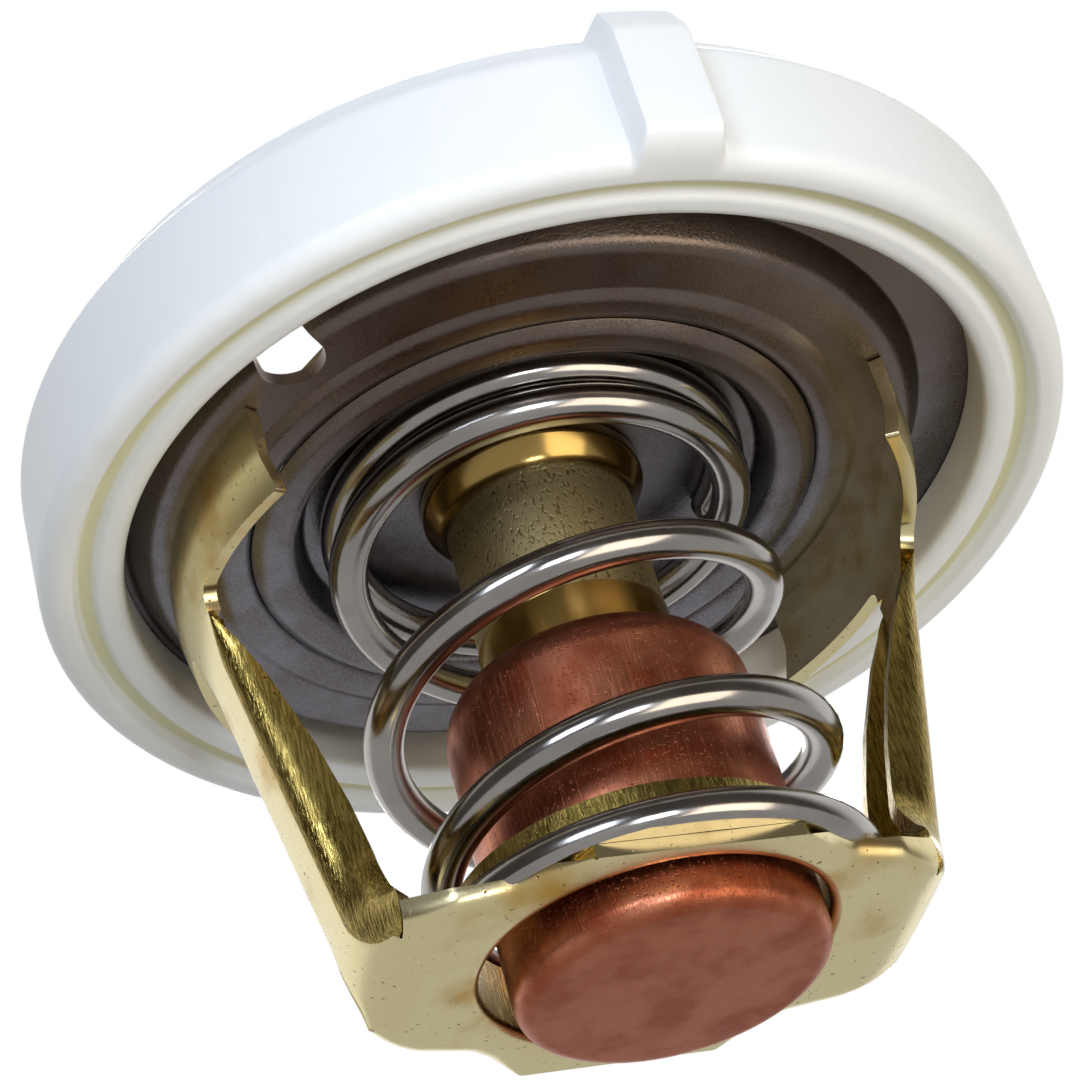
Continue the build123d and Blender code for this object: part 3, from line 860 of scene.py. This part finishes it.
def basePatch(mesh):
    # The drawn collar, the flat underside round it, and the low walls on its edge
    path = outerFace(lowerFrame["ear"])
    low = lowerFrame["low"]
    ringOut = lowerFrame["collar"] + lowerFrame["thick"] + lowerFrame["collarBend"] + 0.06
    ring = [p for p in path if p.x < ringOut - 0.1] + [Vector((ringOut, low))]
    around = [2 * math.pi * k / lowerFrame["around"] for k in range(lowerFrame["around"])]
    rows = [[mesh.verts.new((p.x * math.cos(a), p.x * math.sin(a), p.y)) for p in ring] for a in around]
    for i, row in enumerate(rows):
        after = rows[(i + 1) % len(rows)]
        for j in range(len(ring) - 1):
            face = mesh.faces.new((row[j], after[j], after[j + 1], row[j + 1]))
            face.material_index = 2 if ring[j].x < lowerFrame["collar"] + 0.05 else 0
    outline = []
    for sx, sy, order in ((1, 1, -1), (-1, 1, 1), (-1, -1, -1), (1, -1, 1)):
        columns = []
        for p, out in baseEdge()[::order]:
            radius = between(lowerFrame["lipBends"], p.x)
            inset = p - out * radius
            lip = foldSection(0, radius, between(lowerFrame["lips"], p.x))[flatSteps:]
            column = [(inset + out * o, low + up) for o, up in lip]
            columns.append([mesh.verts.new((sx * q.x, sy * q.y, z)) for q, z in column])
            outline.append((sx * inset.x, sy * inset.y))
        skin(mesh, columns, looped=False)
        if order == 1:
            x, y = outline[-1]
            outline += [(x, y * (1 - k / flatSteps)) for k in range(1, 2 * flatSteps)]
        else:
            outline.pop()
    hole = [(ringOut * math.cos(a), ringOut * math.sin(a)) for a in around]
    points, faces = filled(outline, [hole], lowerFrame["spacing"])
    spots = [mesh.verts.new((p.x, p.y, low)) for p in points]
    for f in faces:
        mesh.faces.new([spots[i] for i in f])


def earPatch(mesh, path, ear, turn):
    # The curved ear above the leg, with the tab that passes through the plate and the bridge's foot
    half = lowerFrame["legWide"] / 2
    legTop = lowerFrame["earLow"] - lowerFrame["legCorner"]
    tabTop = plate["thick"] + bridge["thick"] + lowerFrame["tabOver"]
    wide = ear * math.sin(math.radians(lowerFrame["earHalf"]))
    tab = lowerFrame["tabWide"] / 2
    side = roundCorners(
        [(half, legTop), (half, lowerFrame["earLow"]), (wide, lowerFrame["earLow"]), (wide, 0), (tab, 0),
         (tab, tabTop)],
        [0, lowerFrame["legCorner"] * 0.98, 0.25, 0.25, 0.1, 0], closed=False,
    )
    dense = divided(side, lowerFrame["spacing"]) + [side[-1]]
    bottom = [Vector((half * k / flatSteps, legTop)) for k in range(1 - flatSteps, flatSteps)]
    mirrored = [Vector((-p.x, p.y)) for p in dense[::-1]]
    points, faces = filled(dense + mirrored + bottom, [], lowerFrame["spacing"])
    spots = []
    for p in points:
        r = along(path, 1, p.y).x
        spots.append(mesh.verts.new(turn @ Vector((math.sqrt(r * r - p.x ** 2), p.x, p.y))))
    for f in faces:
        mesh.faces.new([spots[i] for i in f])


def makeFrame():
    mesh = bmesh.new()
    basePatch(mesh)
    for degrees, lean in ((0, lowerFrame["lean"]), (180, -lowerFrame["lean"])):
        turn = Matrix.Rotation(math.radians(degrees), 3, "Z")
        ear = lowerFrame["ear"] + lean
        path = outerFace(ear)
        legPatch(mesh, path, turn)
        earPatch(mesh, path, ear, turn)
    bmesh.ops.remove_doubles(mesh, verts=mesh.verts, dist=0.02)
    bmesh.ops.dissolve_degenerate(mesh, edges=mesh.edges, dist=0.005)
    bmesh.ops.recalc_face_normals(mesh, faces=mesh.faces)
    underside = [f for f in mesh.faces if f.calc_center_median().z < lowerFrame["low"] + 0.1]
    if sum(f.normal.z for f in underside) > 0:
        bmesh.ops.reverse_faces(mesh, faces=mesh.faces)
    mesh = modified(
        mesh,
        ("SOLIDIFY", {"thickness": lowerFrame["thick"], "offset": -1, "use_even_offset": True,
                      "use_quality_normals": True, "material_offset_rim": 1}),    # rims are raw edges
    )
    bmesh.ops.translate(mesh, verts=mesh.verts, vec=valveAt - Vector((lowerFrame["lean"], 0, 0)))
    materials = [brassFace, brassRaw, brassFoldedShaded, brassRaw]
    return piece("lowerFrame", mesh, materials, "flange", ["lower_frame"])


# Upper bridge: a strap with a drawn pocket for the piston's end
bridge = {
    "thick": 1.0, "wide": 10.0, "footOut": 22.3, "footIn": 19.0, "footBend": 1.2, "topBend": 1.6,
    "topHalf": 4.6, "top": 16.6, "pocket": 3.4, "pocketHigh": 2.4, "pocketRound": 0.8, "rawEdge": 0.12,
    "across": 6,
}


def makeBridge():
    under = bridge["top"] - bridge["thick"]
    half = bridge["wide"] / 2
    foot = plate["thick"]
    side = [(bridge["topHalf"], under), (bridge["footIn"], foot), (bridge["footOut"], foot)]
    line = [(-x, z) for x, z in side[::-1]] + side
    bends = [bridge["footBend"], bridge["topBend"], bridge["topBend"], bridge["footBend"]]
    loop = sheetLoop(line, bridge["thick"], bends)
    mesh = bmesh.new()
    rows = []
    edge = bridge["rawEdge"]
    steps = bridge["across"]
    columns = [(-half, edge), (-half + edge, 0)] + [(half * k / steps, 0) for k in range(1 - steps, steps)]
    columns += [(half - edge, 0), (half, edge)]
    for y, inset in columns:
        row = []
        for x, z in loop:
            most = math.sqrt(bridge["footOut"] ** 2 - y * y) - inset
            row.append(mesh.verts.new((min(max(x, -most), most), y, z)))
        rows.append(row)
    skin(mesh, rows)
    mesh.faces.new(rows[0])
    mesh.faces.new(rows[-1][::-1])
    bmesh.ops.translate(mesh, verts=mesh.verts, vec=valveAt)
    high = bridge["top"] + bridge["pocketHigh"]
    join, pocket = under + 0.05, bridge["pocket"]
    boss = roundCorners(
        [(0, join), (pocket, join), (pocket, bridge["top"]), (pocket, high), (0, high)],
        [0, 0, 0, bridge["pocketRound"], 0],
    )
    mesh = cutBy(mesh, lathe(boss, valveAt, 64), "UNION")
    wide, roof = piston["radius"] + piston["play"], high - bridge["thick"]
    bore = [Vector(p) for p in [(0, under - 1), (wide, under - 1), (wide, roof), (0, roof)]]
    mesh = cutBy(mesh, lathe(bore, valveAt, 64))
    return piece("upperBridge", mesh, [brassFace], "flange", ["upper_bridge"], 30)


siliconeRubber = makeSilicone()
stainlessSheet = makeStainless()
brassFace = makeBrassSheet("face")
brassRaw = makeBrassSheet("raw edge")
brassFoldedShaded = makeBrassSheet("foldedShaded")
drawnCopper = makeCopper()
brassTurned = makeTurnedBrass()
plain = {values[0]: makePlain(*values) for values in plainFinishes}
print("stage: materials made")

makeSeal()
makePlate()
makeValve()
makeGuide()
makeCup()
makePiston()
makeSpring()
print("stage: round pieces made")
makeFrame()
makeBridge()
print("stage: frame and bridge made")

# Pieces inside the capsule and the guide keep their solids and get a finish
hidden = {
    "backing_disc": plain["sintered fluoroplastic"], "rubber_plug": plain["moulded rubber"],
    "diaphragm": plain["moulded rubber"], "wax_pellet": plain["cast wax"],
}
for node, material in hidden.items():
    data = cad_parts[node].data
    data.materials.clear()
    data.materials.append(material)


# Floor, light and camera
studio = {
    "floorLow": -0.26, "floorWide": 3.0, "floor": "#E6E4E0", "floorMirrored": 0.55, "floorSeen": 0.7,
    "world": 0.3, "light": "#F4F6FA", "room": "#5A554F", "away": (0.28, 0.77, 0.574),
    "backdropFade": (0.1, 0.55), "aim": (0, 0, -0.012), "camera": (0.0, -149.0, -106.4),
    "turn": -20.0, "pan": -0.11, "tilt": 35.03, "roll": -16.53, "focal": 3082.8, "imageWide": 1080,
}
lamps = {
    # place and size in metres, power in watts; the first three are placed by the camera's own axes
    "key": {"byCamera": True, "place": (-0.12, 0.16, 0.02), "size": 0.1, "power": 0.32, "colour": "#DDE8FF"},
    "front": {"byCamera": True, "place": (0.03, 0.06, 0.0), "size": 0.05, "power": 0.11, "colour": "#EAF1FF"},
    "fill": {"byCamera": True, "place": (0.22, 0.04, 0.05), "size": 0.2, "power": 0.35, "colour": "#FFF1DC"},
    "back": {"byCamera": False, "place": (0.1, 0.25, 0.25), "size": 0.25, "power": 0.9, "colour": "#FFFFFF"},
}


def rayKinds(tree):
    # 1 on rays from the camera, and 1 on mirrored and refracted rays
    paths = addNode(tree, "LightPath").outputs
    shiny = {0: paths["Is Glossy Ray"], 1: paths["Is Transmission Ray"]}
    return paths["Is Camera Ray"], addNode(tree, "Math", shiny, 0, operation="MAXIMUM")


def makeFloor():
    # Paper, matt: pale and even. The camera and the mirrored rays see it lit, and it keeps the shadow.
    mesh = bmesh.new()
    bmesh.ops.create_grid(mesh, x_segments=1, y_segments=1, size=studio["floorWide"] / 2)
    floor = meshObject("floor", mesh)
    floor.location.z = studio["floorLow"]
    material = bpy.data.materials.new("plain paper")
    material.use_nodes = True
    tree = material.node_tree
    paper = tree.nodes["Principled BSDF"]
    paper.inputs["Base Color"].default_value = hexColour(studio["floor"])
    paper.inputs["Roughness"].default_value = 0.8
    camera, shiny = rayKinds(tree)
    pale = addNode(tree, "Emission", {"Color": (1, 1, 1, 1), "Strength": studio["floorMirrored"]}, 0)
    mixed = addNode(tree, "MixShader", {0: shiny, 1: paper.outputs[0], 2: pale}, 0)
    share = addNode(tree, "Math", {0: camera, 1: studio["floorSeen"]}, 0, operation="MULTIPLY")
    seen = addNode(tree, "Emission", {"Color": (1, 1, 1, 1), "Strength": share}, 0)
    both = addNode(tree, "AddShader", {0: mixed, 1: seen}, 0)
    tree.links.new(both, tree.nodes["Material Output"].inputs["Surface"])
    floor.data.materials.append(material)


def makeLamp(name, values, cameraAxes):
    light = bpy.data.lights.new(name, "AREA")
    light.size = values["size"]
    light.energy = values["power"]
    light.color = hexColour(values["colour"])[:3]
    place = Vector(values["place"])
    if values["byCamera"]:
        place = cameraAxes @ place
    lamp = placed(name, light)
    lamp.location = place
    lamp.rotation_mode = "QUATERNION"
    lamp.rotation_quaternion = (Vector(studio["aim"]) - place).to_track_quat("-Z", "Y")


def makeWorld():
    # White behind the object for the camera and in its reflections, a dim room behind the camera
    world = bpy.data.worlds.new("studio")
    bpy.context.scene.world = world
    world.use_nodes = True
    tree = world.node_tree
    camera, shiny = rayKinds(tree)
    place = addNode(tree, "TexCoord", out="Generated")
    behind = addNode(tree, "VectorMath", {0: place, 1: studio["away"]}, "Value", operation="DOT_PRODUCT")
    backdrop = fadeMasks(tree, (behind, *studio["backdropFade"]))[0]
    shades = {0: backdrop, 6: hexColour(studio["room"]), 7: (1, 1, 1, 1)}
    shade = addNode(tree, "Mix", shades, 2, data_type="RGBA")
    light = tree.nodes["Background"]
    light.inputs["Color"].default_value = hexColour(studio["light"])
    light.inputs["Strength"].default_value = studio["world"]
    mirrored = addNode(tree, "Background", {"Color": shade, "Strength": 1.0}, 0)
    seen = addNode(tree, "Background", {"Color": (1, 1, 1, 1), "Strength": 1.0}, 0)
    mixed = addNode(tree, "MixShader", {0: shiny, 1: light.outputs[0], 2: mirrored}, 0)
    mixed = addNode(tree, "MixShader", {0: camera, 1: mixed, 2: seen}, 0)
    tree.links.new(mixed, tree.nodes["World Output"].inputs["Surface"])


def makeCamera():
    # Stands where the photo's camera stood, and returns it
    data = bpy.data.cameras.new("camera")
    data.sensor_width = 36.0
    data.lens = studio["focal"] / studio["imageWide"] * data.sensor_width
    data.clip_start = 0.005
    camera = placed("camera", data)
    pan, tilt, roll = (math.radians(studio[k]) for k in ("pan", "tilt", "roll"))
    look = Vector((math.sin(pan) * math.cos(tilt), math.cos(pan) * math.cos(tilt), math.sin(tilt)))
    right = look.cross(Vector((0, 0, 1))).normalized()
    up = right.cross(look)
    rolledRight = right * math.cos(roll) + up * math.sin(roll)
    rolledUp = up * math.cos(roll) - right * math.sin(roll)
    axes = Matrix((rolledRight, rolledUp, -look)).transposed().to_4x4()
    turn = Matrix.Rotation(math.radians(studio["turn"]), 4, "Z")
    place = Matrix.Translation(Vector(studio["camera"]) * mm)
    camera.matrix_world = Matrix.Translation(valveAt * mm) @ turn @ place @ axes
    bpy.context.scene.camera = camera
    return camera


makeFloor()
makeWorld()
camera = makeCamera()
bpy.context.view_layer.update()
for name, values in lamps.items():
    makeLamp(name, values, camera.matrix_world)
print("stage: floor, light and camera placed")
bpy.context.scene.view_settings.view_transform = "Standard"

bpy.context.view_layer.update()
print("stage: scene ready")
